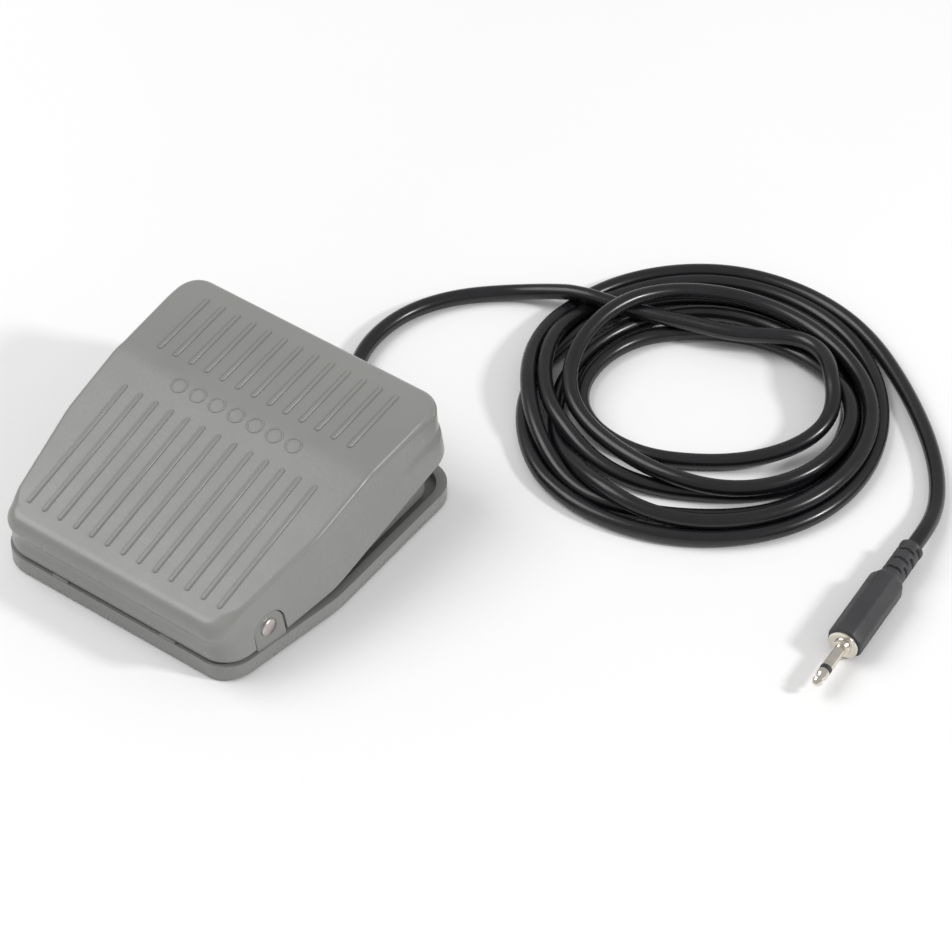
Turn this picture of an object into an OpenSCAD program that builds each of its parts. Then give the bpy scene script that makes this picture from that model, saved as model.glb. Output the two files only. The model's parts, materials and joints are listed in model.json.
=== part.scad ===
// Foot switch: a sprung treadle on a die-cast base, with a snap switch inside
// and a coiled lead ending in a 3.5 mm mono plug.
// Frame: millimetres, +Y towards the toe, +Z up, origin under the middle of the pedal unit.

/* [Pedal] */
// Overall length of the pedal unit, heel to toe
pedal_l = 99.5; // [96:0.5:102]
// Overall width of the toe half
pedal_w = 95.6; // [94:0.2:98]
// Width of the base at the heel
heel_w = 82; // [80:0.5:86]
// Height of the ridge where the two top facets meet
ridge_z = 36.7; // [36:0.1:37.5]
// Slope of the main facet, rise per unit of run
main_slope = 0.244; // [0.23:0.002:0.25]
// Slope of the toe facet, rise per unit of run
toe_slope = 0.078; // [0.06:0.002:0.09]
// Wall thickness of the cover casting
cover_wall = 2.4; // [2:0.1:2.6]

/* [Base] */
// Height of the base rim above the ground
rim_z = 6; // [5.6:0.1:6]
// How far the rubber feet stand below the base
foot_drop = 0.8; // [0.4:0.1:1.2]
// Thickness of the base floor
floor_t = 2.6; // [2.2:0.1:3]
// Diameter of the screw holes in the base floor
mount_hole_d = 4.5; // [4:0.1:5]

/* [Hinge] */
// Diameter of the pivot pin
pin_d = 5.5; // [5:0.1:6]
// Radial running clearance of the cover's lugs on the pin
pin_play = 0.05; // [0.03:0.01:0.08]
// Largest downward swing of the treadle, in degrees
press_angle = 6.5; // [4:0.5:7]

/* [Treads] */
// Number of ribs in each of the two groups
rib_count = 13; // [11:2:15]
// Distance between neighbouring ribs
rib_pitch = 5.65; // [5:0.05:5.8]
// Width of one rib
rib_w = 1.2; // [0.8:0.1:1.6]
// Height of one rib above its facet
rib_h = 0.45; // [0.3:0.05:0.6]

/* [Cord and plug] */
// Diameter of the cord
cord_d = 4.8; // [4.6:0.1:5]
// Height of the loose coil
coil_h = 13; // [11:0.5:15]
// Diameter of the jack sleeve
jack_d = 3.5; // [3.4:0.1:3.6]
// Length of the jack from its shoulder to its tip
jack_l = 15; // [14:0.5:15]

/* [Hidden] */

$fn = 48;

// Plan of the pedal unit
toe_y = pedal_l / 2;
heel_y = -toe_y;
base_heel_y = heel_y + 1.2;
kink_y = -8;
toe_half = pedal_w / 2;
heel_half = heel_w / 2;
corner_r = 9.5;
kink_r = 40;
ridge_y = 11.7;

// Base heights
base_z = foot_drop;
floor_z = base_z + floor_t;
rim_t = 2.6;
upstand_in = 5.4;
upstand_t = 2;
upstand_toe_z = 14;
upstand_heel_z = 10.5;

// Cover
skirt_z = 6.8;
skirt_bend_y = -27;
skirt_kink_z = 9.2;
skirt_toe_z = 19.7;
skirt_in = 0.6;

// Hinge
pin_y = -32;
pin_z = 11.6;
pin_half = 42.6;
pin_bevel = 0.3;
ear_r = 5.2;
ear_in = 38.6;
ear_foot = 3.4;
side_lean = 9.4;
side_turn = atan((toe_half - heel_half) / (kink_y - base_heel_y));
ear_face_x = toe_half - skirt_in - 0.1 - (kink_y - pin_y) * tan(side_turn);
ear_gap = 0.6;
lug_x = 35.2;
lug_t = 4.4;
lug_r = 5;
lug_gap = 0.8;
clip_t = 0.9;
clip_d = 9;

// Snap switch, screwed to an upright of the base, with its tabs on the heel end
case_x = 10.3;
case_y = 27.8;
case_z = 15.9;
case_y0 = -4;
case_z0 = 5;
case_top = case_z0 + case_z;
lid_t = 2.4;
screw_pitch = 22.2;
screw_d = 3;
screw_z = case_z0 + 3.2;
upright_t = 3.4;
lever_y = case_y0 + case_y - 1.2;
lever_z = case_top + 0.7;
lever_l = 22.6;
lever_t = 0.6;
lever_w = 3.8;
lever_rod_d = 1.2;
cheek_x = 2.05;
cheek_t = 0.7;
lever_rest = 11;
plunger_y = lever_y - 7.8;
plunger_w = 3;
plunger_rise = 1.5;
tab_w = 6.3;
tab_t = 0.8;
tab_l = 8;
tab_levels = [2.5, 8, 13.5];

// Actuator screw under the cover
actuator_y = 1.2;
actuator_tip = 26.3;
actuator_d = 4;
actuator_boss_l = 4;

// Return springs, one each side
spring_x = 24;
spring_y = 30;
spring_seat_z = 5;
spring_top_z = 31.6;
spring_d = 11;
spring_wire = 1.2;
spring_turns = 6;

// Cord entry
cord_x = 0;
cord_z = 6;
grommet_d = 7.4;
cord_block_z = 11;
cord_notch_w = 15;
cord_notch_z = 23.1;
wire_d = 1.6;
clamp_y = 38;

// Loose coil, highest between its inner and outer turns
coil_centre = [88.2, 117.2];
coil_out = 64;
coil_in = 19;

// Plug lying on the ground
plug_at = [168.55, 87.9];
plug_heading = -85.4;
barrel_d = 10.8;
barrel_l = 28;
boot_l = 14;
collar_d = 9;
collar_l = 0.8;
neck_d = 5.4;
neck_l = 1.6;

// The cord between the housing and the coil, and between the coil and the plug
lead_route = [[0, 33, 6], [0, 42, 6], [0, 50, 6], [0, 57, 5], [-2.5, 65, 3.4], [-7, 74.5, 2.6],
    [-9, 85, 2.6], [-8, 96, 2.6], [-4, 106, 2.6], [3, 115.5, 2.6], [12, 123.3, 3],
    [22.5, 128.6, 4.8], [33, 131.4, 6.8]];
tail_route = [[140.5, 150.6, 2.6], [144, 147.6, 2.6], [157.3, 132.8, 2.6], [164.4, 119, 3.2],
    [166.7, 108.5, 4.8], [167.5, 100.9, 5.4]];

// ---- helpers -------------------------------------------------------------

function unit(v) = v / norm(v);

// Points of one rounded corner of a counter-clockwise outline
function corner(a, p, b, r, steps) =
    let (u = unit(a - p), v = unit(b - p), half = acos(u * v) / 2,
         c = p + unit(u + v) * r / sin(half), t = p + u * r / tan(half) - c,
         start = atan2(t[1], t[0]), sweep = 180 - 2 * half)
    [for (i = [0:steps]) c + r * [cos(start + sweep * i / steps), sin(start + sweep * i / steps)]];

// Outline from [x, y, radius] corners
function rounded(points, steps = 8) =
    [for (i = [0:len(points) - 1])
        let (n = len(points), a = points[(i + n - 1) % n], p = points[i], b = points[(i + 1) % n])
        each corner([a[0], a[1]], [p[0], p[1]], [b[0], b[1]], p[2], steps)];

// Plan of the pedal unit, moved inwards by d
function plan(d) = rounded([
    [heel_half - d, base_heel_y + d, corner_r - d / 2], [toe_half - d, kink_y, kink_r],
    [toe_half - d, toe_y - d, corner_r - d / 2], [d - toe_half, toe_y - d, corner_r - d / 2],
    [d - toe_half, kink_y, kink_r], [d - heel_half, base_heel_y + d, corner_r - d / 2]]);

// Height of the cover's two top facets
function facet_z(y) = ridge_z + (y - ridge_y) * (y < ridge_y ? main_slope : toe_slope);

// Smooth route through chosen points, `steps` pieces between neighbours
function spline(p, i, t) =
    let (n = len(p) - 1, a = p[max(i - 1, 0)], b = p[i], c = p[min(i + 1, n)], d = p[min(i + 2, n)])
    0.5 * (2 * b + (c - a) * t + (2 * a - 5 * b + 4 * c - d) * t * t
        + (3 * b - a - 3 * c + d) * t * t * t);
function route(p, steps) =
    [for (i = [0:len(p) - 2], k = [0:steps - 1]) spline(p, i, k / steps), p[len(p) - 1]];

// Closed tube of one polyhedron along a path
module tube(path, d, sides) {
    last = len(path) - 1;
    rings = [for (i = [0:last])
        let (t = unit(path[min(i + 1, last)] - path[max(i - 1, 0)]),
             side = unit(cross(t, [0, 0, 1])), up = cross(side, t))
        [for (k = [0:sides - 1]) path[i] + d / 2 * (side * cos(360 * k / sides)
            + up * sin(360 * k / sides))]];
    walls = [for (i = [0:last - 1], k = [0:sides - 1])
        [i * sides + k, i * sides + (k + 1) % sides,
         (i + 1) * sides + (k + 1) % sides, (i + 1) * sides + k]];
    caps = [[for (k = [0:sides - 1]) sides - 1 - k], [for (k = [0:sides - 1]) last * sides + k]];
    polyhedron(points = [for (ring = rings) each ring], faces = concat(walls, caps));
}

actuator_boss_z = facet_z(actuator_y) - actuator_boss_l;
actuator_top = facet_z(actuator_y) - 1.4;
screw_core_d = actuator_d - 0.7;

module slab(d, z0, z1) translate([0, 0, z0]) linear_extrude(z1 - z0) polygon(plan(d));
module along_x(w) rotate([90, 0, 90]) linear_extrude(w, center = true) children();
module both_sides() {
    children();
    mirror([1, 0, 0]) children();
}
module x_rod(d, x0, x1, y, z) translate([x0, y, z]) rotate([0, 90, 0]) cylinder(d = d, h = x1 - x0);

mount_holes = [for (x = [-28, 28], y = [-18, 14]) [x, y]];
foot_d = 12;
foot_seat = 1.2;
foot_places = [for (s = [-1, 1]) each [[s * 31, -38], [s * 37, 38]]];

// ---- base ----------------------------------------------------------------

module upstand() intersection() {
    difference() {
        slab(upstand_in, floor_z - 1, upstand_toe_z + 1);
        slab(upstand_in + upstand_t, floor_z - 2, upstand_toe_z + 2);
    }
    along_x(pedal_w) polygon([[-60, 0], [60, 0], [60, upstand_toe_z], [0, upstand_toe_z],
        [-20, upstand_heel_z], [-60, upstand_heel_z]]);
}

// Room for the cover's hinge lugs inside the upstand
module lug_clearance() both_sides()
    translate([lug_x - lug_t / 2 - lug_gap, pin_y - lug_r - lug_gap, floor_z])
    cube([ear_in - lug_x + lug_t / 2 + lug_gap, 2 * (lug_r + lug_gap), upstand_toe_z]);

// Outside of the cover's leaning side plane at the ears
module beyond_side() translate([ear_face_x, pin_y, skirt_z]) rotate([0, -side_lean, -side_turn])
    translate([0, -30, -30]) cube([20, 60, 60]);

// Arch-topped ears that carry the pin's ends, flush with the sides of the cover
module ears() both_sides() union() {
    difference() {
        translate([ear_in + 5, 0, 0]) along_x(10) union() {
            translate([pin_y, pin_z]) circle(ear_r);
            translate([pin_y - ear_r, rim_z - 1]) square([2 * ear_r, pin_z - rim_z + 1]);
        }
        beyond_side();
    }
    translate([ear_in, pin_y - ear_r, floor_z - 1]) cube([ear_foot, 2 * ear_r, rim_z - floor_z + 0.5]);
}

module heel_stops() both_sides()
    translate([16.5, base_heel_y + 0.3, rim_z - 1]) cube([5.4, 2.2, skirt_z - 0.1 - rim_z + 1]);

module switch_upright() translate([-case_x / 2 - upright_t, case_y0 + 1, floor_z - 1])
    cube([upright_t, case_y - 2, case_top - floor_z - 2]);

module cord_block() difference() {
    translate([cord_x - 6, toe_y - 7.6, base_z + 1]) cube([12, 7.4, cord_block_z - base_z - 1]);
    translate([cord_x, toe_y - 8, cord_z]) rotate([-90, 0, 0]) cylinder(d = grommet_d, h = 12);
}

module clamp_saddle() difference() {
    translate([cord_x - 10, clamp_y - 3, floor_z - 1]) cube([20, 6, cord_z - 0.6 - floor_z + 1]);
    translate([cord_x, clamp_y - 4, cord_z]) rotate([-90, 0, 0]) cylinder(d = cord_d, h = 8);
    for (s = [-1, 1]) translate([cord_x + s * 7, clamp_y, cord_z - 4.6]) cylinder(d = 2.5, h = 9);
}

module spring_seats() both_sides() translate([spring_x, spring_y, floor_z - 1]) difference() {
    cylinder(d = spring_d + 3, h = spring_seat_z + 1.6 - floor_z + 1);
    translate([0, 0, spring_seat_z - floor_z + 1]) cylinder(d = spring_d + 0.6, h = 3);
}

module base_casting() color([0.52, 0.52, 0.50]) difference() {
    union() {
        difference() {
            slab(0, base_z, rim_z);
            slab(rim_t, floor_z, rim_z + 1);
        }
        difference() {
            upstand();
            lug_clearance();
        }
        ears();
        heel_stops();
        switch_upright();
        cord_block();
        clamp_saddle();
        spring_seats();
        for (p = mount_holes) translate([p[0], p[1], floor_z - 1]) cylinder(d = 10, h = 2.2);
    }
    x_rod(pin_d, -pedal_w / 2, pedal_w / 2, pin_y, pin_z);
    translate([cord_x, toe_y - 8, cord_z]) rotate([-90, 0, 0]) cylinder(d = grommet_d, h = 12);
    for (p = mount_holes) translate([p[0], p[1], 0]) cylinder(d = mount_hole_d, h = 8);
    for (p = foot_places) translate([p[0], p[1], 0]) cylinder(d = foot_d, h = base_z + foot_seat);
    for (s = [-1, 1]) x_rod(2.5, -case_x / 2 - upright_t - 1, 0,
        case_y0 + case_y / 2 + s * screw_pitch / 2, screw_z);
}

module rubber_feet() color([0.08, 0.08, 0.08])
    for (p = foot_places) translate([p[0], p[1], 0]) cylinder(d = foot_d, h = base_z + foot_seat);

// ---- hinge ---------------------------------------------------------------

module pivot_pin() color([0.78, 0.74, 0.72]) union() {
    x_rod(pin_d, pin_bevel - pin_half, pin_half - pin_bevel, pin_y, pin_z);
    both_sides() translate([pin_half - pin_bevel, pin_y, pin_z]) rotate([0, 90, 0])
        cylinder(d1 = pin_d, d2 = pin_d - 2 * pin_bevel, h = pin_bevel);
}

module pin_clips() color([0.6, 0.6, 0.6]) both_sides() difference() {
    x_rod(clip_d, lug_x - lug_t / 2 - 0.3 - clip_t, lug_x - lug_t / 2 - 0.3, pin_y, pin_z);
    x_rod(pin_d, 0, 60, pin_y, pin_z);
}

// ---- snap switch ---------------------------------------------------------

module case_block(x0, w) difference() {
    translate([x0, case_y0, case_z0]) cube([w, case_y, case_z]);
    for (s = [-1, 1]) x_rod(screw_d + 0.2, -10, 10,
        case_y0 + case_y / 2 + s * screw_pitch / 2, screw_z);
    translate([-plunger_w / 2 - 0.15, plunger_y - plunger_w / 2 - 0.15, case_top - 7])
        cube([plunger_w + 0.3, plunger_w + 0.3, 8]);
}

// Moulded case with a hollow for the contacts and two cheeks for the lever's hinge
module switch_case() color([0.12, 0.12, 0.13]) difference() {
    union() {
        difference() {
            case_block(-case_x / 2, case_x - lid_t);
            translate([-case_x / 2 + 1.6, case_y0 + 2, case_z0 + 6.2])
                cube([case_x - lid_t, case_y - 4, case_z - 8.2]);
        }
        for (x = [-cheek_x - cheek_t, cheek_x]) translate([x, lever_y - 1.2, case_top - 1])
            cube([cheek_t, 2.4, 3]);
    }
    x_rod(lever_rod_d + 2 * pin_play, -cheek_x - 3, cheek_x + 3, lever_y, lever_z);
}

module switch_lid() color([0.45, 0.12, 0.1]) case_block(case_x / 2 - lid_t, lid_t);

// Three tabs on the heel end of the case
module switch_terminals() color([0.8, 0.7, 0.4])
    for (z = tab_levels) translate([-tab_w / 2, case_y0 - tab_l, case_z0 + z])
        cube([tab_w, tab_l, tab_t]);

module switch_screws() color([0.7, 0.7, 0.72]) for (s = [-1, 1])
    translate([0, case_y0 + case_y / 2 + s * screw_pitch / 2, screw_z]) rotate([0, 90, 0]) union() {
        translate([0, 0, case_x / 2]) difference() {
            cylinder(d = 5.4, h = 1.8);
            translate([-3, -0.4, 1]) cube([6, 0.8, 2]);
        }
        translate([0, 0, -case_x / 2]) cylinder(d = screw_d, h = case_x);
        translate([0, 0, -case_x / 2 - upright_t]) cylinder(d = 2.5, h = upright_t + 1);
    }

module switch_plunger() color([0.85, 0.2, 0.15])
    translate([-plunger_w / 2, plunger_y - plunger_w / 2, case_top - 4.6])
    cube([plunger_w, plunger_w, 4.6 + plunger_rise]);

module switch_lever() color([0.8, 0.8, 0.82]) translate([0, lever_y, lever_z]) {
    rotate([-lever_rest, 0, 0]) translate([-lever_w / 2, -lever_l, -lever_t / 2])
        cube([lever_w, lever_l, lever_t]);
    rotate([0, 90, 0]) cylinder(d = lever_rod_d, h = 2 * cheek_x + 1.8, center = true);
}

// ---- spring --------------------------------------------------------------

module return_springs() color([0.75, 0.75, 0.78]) {
    steps = 14;
    r = (spring_d - spring_wire) / 2;
    z0 = spring_seat_z + spring_wire / 2 + 0.05;
    rise = spring_top_z - spring_wire - 0.3 - spring_seat_z;
    coils = [for (i = [0:steps * spring_turns]) let (a = 360 * i / steps)
        [spring_x + r * cos(a), spring_y + r * sin(a), z0 + rise * i / (steps * spring_turns)]];
    both_sides() tube(coils, spring_wire, 8);
}

// ---- cord entry ----------------------------------------------------------

module cord_grommet() color([0.07, 0.07, 0.07])
    translate([cord_x, 0, cord_z]) rotate([-90, 0, 0]) difference() {
        union() {
            translate([0, 0, toe_y - 8]) cylinder(d = grommet_d, h = 8);
            translate([0, 0, toe_y - 8]) cylinder(d = grommet_d + 2.6, h = 1.6);
        }
        cylinder(d = cord_d, h = 80);
    }

module cord_clamp() color([0.7, 0.7, 0.68]) difference() {
    union() {
        translate([cord_x - 9, clamp_y - 2.5, cord_z - 0.6]) cube([18, 5, 1]);
        translate([cord_x, clamp_y - 2.5, cord_z]) rotate([-90, 0, 0])
            cylinder(d = cord_d + 2, h = 5);
    }
    translate([cord_x, clamp_y - 4, cord_z]) rotate([-90, 0, 0]) cylinder(d = cord_d, h = 8);
    translate([cord_x - 6, clamp_y - 4, cord_z - 5.6]) cube([12, 8, 5]);
    for (s = [-1, 1]) translate([cord_x + s * 7, clamp_y, 0]) cylinder(d = 2.6, h = 20);
}

module clamp_screws() color([0.72, 0.72, 0.74]) for (s = [-1, 1])
    translate([cord_x + s * 7, clamp_y, cord_z + 0.4]) union() {
        difference() {
            cylinder(d = 4.4, h = 1.4);
            translate([-3, -0.35, 0.8]) cube([6, 0.7, 1]);
        }
        translate([0, 0, -5]) cylinder(d = 2.5, h = 5);
    }

// Two insulated cores from the cord end, past the switch, to its tabs
module inner_wires() {
    back_y = case_y0 - tab_l - 2;
    for (w = [[-1, 0], [1, 2]]) {
        z = case_z0 + tab_levels[w[1]] + tab_t / 2;
        color(w[0] < 0 ? "sienna" : "steelblue")
            tube(route([[w[0] * 1.1, 33, cord_z], [w[0] * 3, 30, 6], [w[0] * 9, 26, 5.5],
                [w[0] * 12, 18, 5], [w[0] * 12, 6, 5], [w[0] * 12, -6, 5.5], [w[0] * 11, -16, z],
                [w[0] * 6, -20, z], [w[0] * 1, -18, z], [0, back_y, z]], 3), wire_d, 8);
    }
}

// Push-on sleeves over the lower and the upper tab
module wire_receptacles() color([0.8, 0.75, 0.6])
    for (z = [tab_levels[0], tab_levels[2]]) difference() {
        translate([-tab_w / 2 - 0.8, case_y0 - tab_l - 2, case_z0 + z - 0.8])
            cube([tab_w + 1.6, tab_l, tab_t + 1.6]);
        translate([-tab_w / 2, case_y0 - tab_l, case_z0 + z]) cube([tab_w, tab_l, tab_t]);
    }

// ---- cover ---------------------------------------------------------------

// Convex body of the cover, moved inwards by d
module cover_body(d) hull() {
    slab(skirt_in + d, d > 0 ? 0 : skirt_z, skirt_z + 0.1);
    for (s = [-1, 1], c = [[34.4, heel_y + 4, 4], [32, heel_y + 4, 4], [39.2, -12, 5],
            [39.3, ridge_y, 5], [40.4, 36.5, 5], [37.5, 41.6, 5]]) {
        tilt = sqrt(1 + pow(c[1] < ridge_y ? main_slope : toe_slope, 2));
        translate([s * c[0], c[1], facet_z(c[1]) - c[2] * tilt]) sphere(r = c[2] - d, $fn = 32);
    }
}

// Everything below the cover's lower edge
module below_skirt() along_x(pedal_w + 20) polygon([[-80, -5], [-80, skirt_z],
    [skirt_bend_y, skirt_z], [kink_y, skirt_kink_z], [toe_y, skirt_toe_z],
    [80, skirt_toe_z], [80, -5]]);

module ear_notches() both_sides() translate([toe_half - 4, 0, 0]) along_x(22) union() {
    translate([pin_y, pin_z]) circle(ear_r + ear_gap);
    translate([pin_y - ear_r - ear_gap, 0]) square([2 * (ear_r + ear_gap), pin_z]);
}

module hinge_lug() translate([lug_x, 0, 0]) along_x(lug_t) union() {
    translate([pin_y, pin_z]) circle(lug_r);
    polygon([[pin_y - lug_r, pin_z], [pin_y + lug_r, pin_z],
        [pin_y + lug_r, facet_z(pin_y + lug_r) - 1], [pin_y - lug_r, facet_z(pin_y - lug_r) - 1]]);
}

module ribs(y0, y1) for (i = [0:rib_count - 1])
    translate([rib_pitch * (i - (rib_count - 1) / 2), y0, facet_z(y0)])
    rotate([atan2(facet_z(y1) - facet_z(y0), y1 - y0), 0, 0])
    translate([-rib_w / 2, 0, -0.8])
    cube([rib_w, norm([y1 - y0, facet_z(y1) - facet_z(y0)]), 0.8 + rib_h]);

module pedal_cover() color([0.60, 0.60, 0.58]) difference() {
    union() {
        difference() {
            cover_body(0);
            cover_body(cover_wall);
            below_skirt();
            ear_notches();
            translate([cord_x - cord_notch_w / 2, toe_y - 9, 0])
                cube([cord_notch_w, 12, cord_notch_z]);
        }
        both_sides() hinge_lug();
        ribs(-42.8, 1.5);
        ribs(16.2, 39.2);
        translate([0, actuator_y, actuator_boss_z]) cylinder(d = 9, h = actuator_boss_l - 1);
        both_sides() translate([spring_x, spring_y, spring_top_z])
            cylinder(d = spring_d + 3, h = 5);
    }
    x_rod(pin_d + 2 * pin_play, -60, 60, pin_y, pin_z);
    translate([0, actuator_y, 20]) cylinder(d = screw_core_d, h = actuator_top - 20);
}

module actuator_screw() color([0.7, 0.7, 0.72]) translate([0, actuator_y, 0]) union() {
    translate([0, 0, actuator_tip + 0.6])
        cylinder(d = screw_core_d, h = actuator_top - actuator_tip - 0.6);
    translate([0, 0, actuator_tip]) cylinder(d1 = 2.2, d2 = screw_core_d, h = 0.6);
}

module actuator_nut() color([0.74, 0.72, 0.66]) translate([0, actuator_y, 0]) difference() {
    translate([0, 0, actuator_boss_z - 1.4]) cylinder(d = 8.1, h = 1.4, $fn = 6);
    cylinder(d = screw_core_d, h = 60);
}

// ---- cord and plug -------------------------------------------------------

module lead_cord() color([0.05, 0.05, 0.06]) tube(route(lead_route, 2), cord_d, 8);

module cord_coil() color([0.06, 0.06, 0.07])
    translate([coil_centre[0], coil_centre[1], 0]) rotate_extrude($fn = 72)
        polygon([[coil_in, 0], [coil_out, 0], [coil_out, cord_d], [coil_out - 4, 2 * cord_d],
            [coil_out - 12, coil_h], [coil_in + 21, coil_h], [coil_in + 13, 2 * cord_d],
            [coil_in + 9, cord_d], [coil_in, cord_d]]);

module tail_cord() color([0.05, 0.05, 0.06]) tube(route(tail_route, 2), cord_d, 8);

// Places a child that runs along +Z onto the plug's axis, s from the barrel's back face
module on_plug(s) translate([plug_at[0], plug_at[1], barrel_d / 2])
    rotate([0, 0, plug_heading]) rotate([0, 90, 0]) translate([0, 0, s]) children();

module plug_boot() color([0.06, 0.06, 0.06]) on_plug(-boot_l)
    cylinder(d1 = cord_d + 2.2, d2 = cord_d + 2.6, h = boot_l);

module plug_barrel() color([0.07, 0.07, 0.07]) on_plug(0) union() {
    translate([0, 0, 2.4]) cylinder(d = barrel_d, h = barrel_l - 2.4);
    cylinder(d1 = barrel_d - 3.2, d2 = barrel_d, h = 2.4);
}

module plug_collar() color([0.75, 0.72, 0.66]) on_plug(barrel_l) union() {
    cylinder(d = collar_d, h = collar_l);
    translate([0, 0, collar_l]) cylinder(d = neck_d, h = neck_l);
}

jack_s = barrel_l + collar_l + neck_l;
ring_s = jack_l - 7;
ring_l = 1.2;

module jack_sleeve() color([0.78, 0.75, 0.68]) on_plug(jack_s) cylinder(d = jack_d, h = ring_s);
module jack_insulator() color([0.05, 0.05, 0.05]) on_plug(jack_s + ring_s)
    cylinder(d = jack_d, h = ring_l);

module jack_tip() color([0.78, 0.75, 0.68]) on_plug(jack_s + ring_s + ring_l) rotate_extrude()
    polygon([[0, 0], [1.6, 0], [1.75, 0.4], [1.75, 2.1], [1.2, 3.1], [1.2, 3.5], [1.6, 4.2],
        [1.2, 5.1], [0.5, jack_l - ring_s - ring_l], [0, jack_l - ring_s - ring_l]]);

base_casting();
rubber_feet();
pivot_pin();
pin_clips();
switch_case();
switch_lid();
switch_terminals();
switch_screws();
switch_plunger();
switch_lever();
return_springs();
cord_grommet();
cord_clamp();
clamp_screws();
inner_wires();
wire_receptacles();
pedal_cover();
actuator_screw();
actuator_nut();
lead_cord();
cord_coil();
tail_cord();
plug_boot();
plug_barrel();
plug_collar();
jack_sleeve();
jack_insulator();
jack_tip();
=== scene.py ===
"""Looks of the foot switch: cover, base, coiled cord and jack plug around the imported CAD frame."""

import json
import math

import bmesh
import bpy
import numpy as np
from mathutils import Matrix, Vector


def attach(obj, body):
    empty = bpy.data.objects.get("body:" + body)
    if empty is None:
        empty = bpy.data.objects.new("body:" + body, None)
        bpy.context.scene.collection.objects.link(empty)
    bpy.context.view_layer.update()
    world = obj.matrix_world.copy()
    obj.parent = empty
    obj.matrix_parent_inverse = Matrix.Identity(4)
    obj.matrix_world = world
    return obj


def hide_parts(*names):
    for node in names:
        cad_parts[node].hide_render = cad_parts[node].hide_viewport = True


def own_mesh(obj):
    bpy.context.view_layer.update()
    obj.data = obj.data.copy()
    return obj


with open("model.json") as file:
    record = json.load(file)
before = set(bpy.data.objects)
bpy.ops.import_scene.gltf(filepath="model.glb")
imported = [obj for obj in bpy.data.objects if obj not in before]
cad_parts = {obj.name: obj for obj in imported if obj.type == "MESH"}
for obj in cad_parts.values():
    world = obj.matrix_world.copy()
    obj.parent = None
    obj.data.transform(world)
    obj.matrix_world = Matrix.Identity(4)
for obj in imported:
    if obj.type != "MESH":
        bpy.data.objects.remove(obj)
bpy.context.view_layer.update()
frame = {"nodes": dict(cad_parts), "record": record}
MM = 0.001

# ---- camera --------------------------------------------------------------

IMAGE_SIDE = 952
CAMERA_AZIMUTH = math.radians(35.79)
CAMERA_ELEVATION = math.radians(45.9)
CAMERA_DISTANCE = 1.063
CAMERA_TARGET = Vector((0.0489, 0.0559, 0.0016))
FOCAL_PIXELS = 3680
SENSOR = 36.0


def make_camera():
    back = Vector(
        (
            math.sin(CAMERA_AZIMUTH) * math.cos(CAMERA_ELEVATION),
            -math.cos(CAMERA_AZIMUTH) * math.cos(CAMERA_ELEVATION),
            math.sin(CAMERA_ELEVATION),
        )
    )
    data = bpy.data.cameras.new("camera")
    data.sensor_width = SENSOR
    data.lens = FOCAL_PIXELS / IMAGE_SIDE * SENSOR
    data.clip_end = 50
    camera = bpy.data.objects.new("camera", data)
    camera.location = CAMERA_TARGET + back * CAMERA_DISTANCE
    camera.rotation_euler = back.to_track_quat("Z", "Y").to_euler()
    bpy.context.scene.collection.objects.link(camera)
    bpy.context.scene.camera = camera


make_camera()

# ---- mesh helpers --------------------------------------------------------


def add_mesh(name, points, faces, smooth_angle=35.0):
    """A mesh object from points in millimetres, smooth-shaded up to an angle."""
    mesh = bpy.data.meshes.new(name)
    mesh.from_pydata([tuple(c * MM for c in p) for p in points], [], faces)
    mesh.validate()
    piece = bpy.data.objects.new(name, mesh)
    bpy.context.scene.collection.objects.link(piece)
    finish_mesh(piece, smooth_angle)
    return piece


def finish_mesh(piece, smooth_angle):
    """Faces outwards and edges sharper than the angle marked sharp."""
    shape = bmesh.new()
    shape.from_mesh(piece.data)
    bmesh.ops.remove_doubles(shape, verts=shape.verts, dist=1e-6)
    bmesh.ops.recalc_face_normals(shape, faces=shape.faces)
    for face in shape.faces:
        face.smooth = True
    limit = math.radians(smooth_angle)
    for edge in shape.edges:
        edge.smooth = len(edge.link_faces) < 2 or edge.calc_face_angle(0) < limit
    shape.to_mesh(piece.data)
    shape.free()


def ring_faces(first, second, count):
    """Quads between two closed rings of points that start at these indices."""
    faces = []
    for k in range(count):
        n = (k + 1) % count
        faces.append((first + k, first + n, second + n, second + k))
    return faces


def loft(rings, cap_start=True, cap_end=True):
    """Points and faces of a skin over rings of equal point counts."""
    count = len(rings[0])
    points = [p for ring in rings for p in ring]
    faces = []
    for i in range(len(rings) - 1):
        faces += ring_faces(i * count, (i + 1) * count, count)
    if cap_start:
        faces.append(tuple(range(count))[::-1])
    if cap_end:
        last = (len(rings) - 1) * count
        faces.append(tuple(range(last, last + count)))
    return points, faces


def apply_modifiers(piece):
    """The piece's modifiers, written into its mesh."""
    bpy.context.view_layer.update()
    depsgraph = bpy.context.evaluated_depsgraph_get()
    mesh = bpy.data.meshes.new_from_object(piece.evaluated_get(depsgraph))
    piece.modifiers.clear()
    piece.data = mesh


# ---- the cord ------------------------------------------------------------

CORD_D = 4.8
CORD_R = CORD_D / 2
COIL_CENTRE = (89.1, 115.3)
FIRST_STATION = 120.0
STATION_STEP = -45.0

# The cord from the grommet to the coil, close to the CAD's, and on over the inner turns
LEAD_ROUTE = [
    (0, 42, 6), (0, 50, 6), (0, 57, 5), (-2.5, 65, 3.4), (-7, 74.5, 2.6), (-9, 85, 2.6),
    (-8, 96, 2.6), (-4, 106, 2.6), (3, 115.5, 2.6), (12, 123.3, 3.0), (22.5, 128.6, 4.8),
    (34, 131.6, 7.2), (45.5, 134.2, 7.8), (57, 137.4, 7.9), (69, 141, 8.0), (81, 144.6, 8.2),
]

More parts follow.
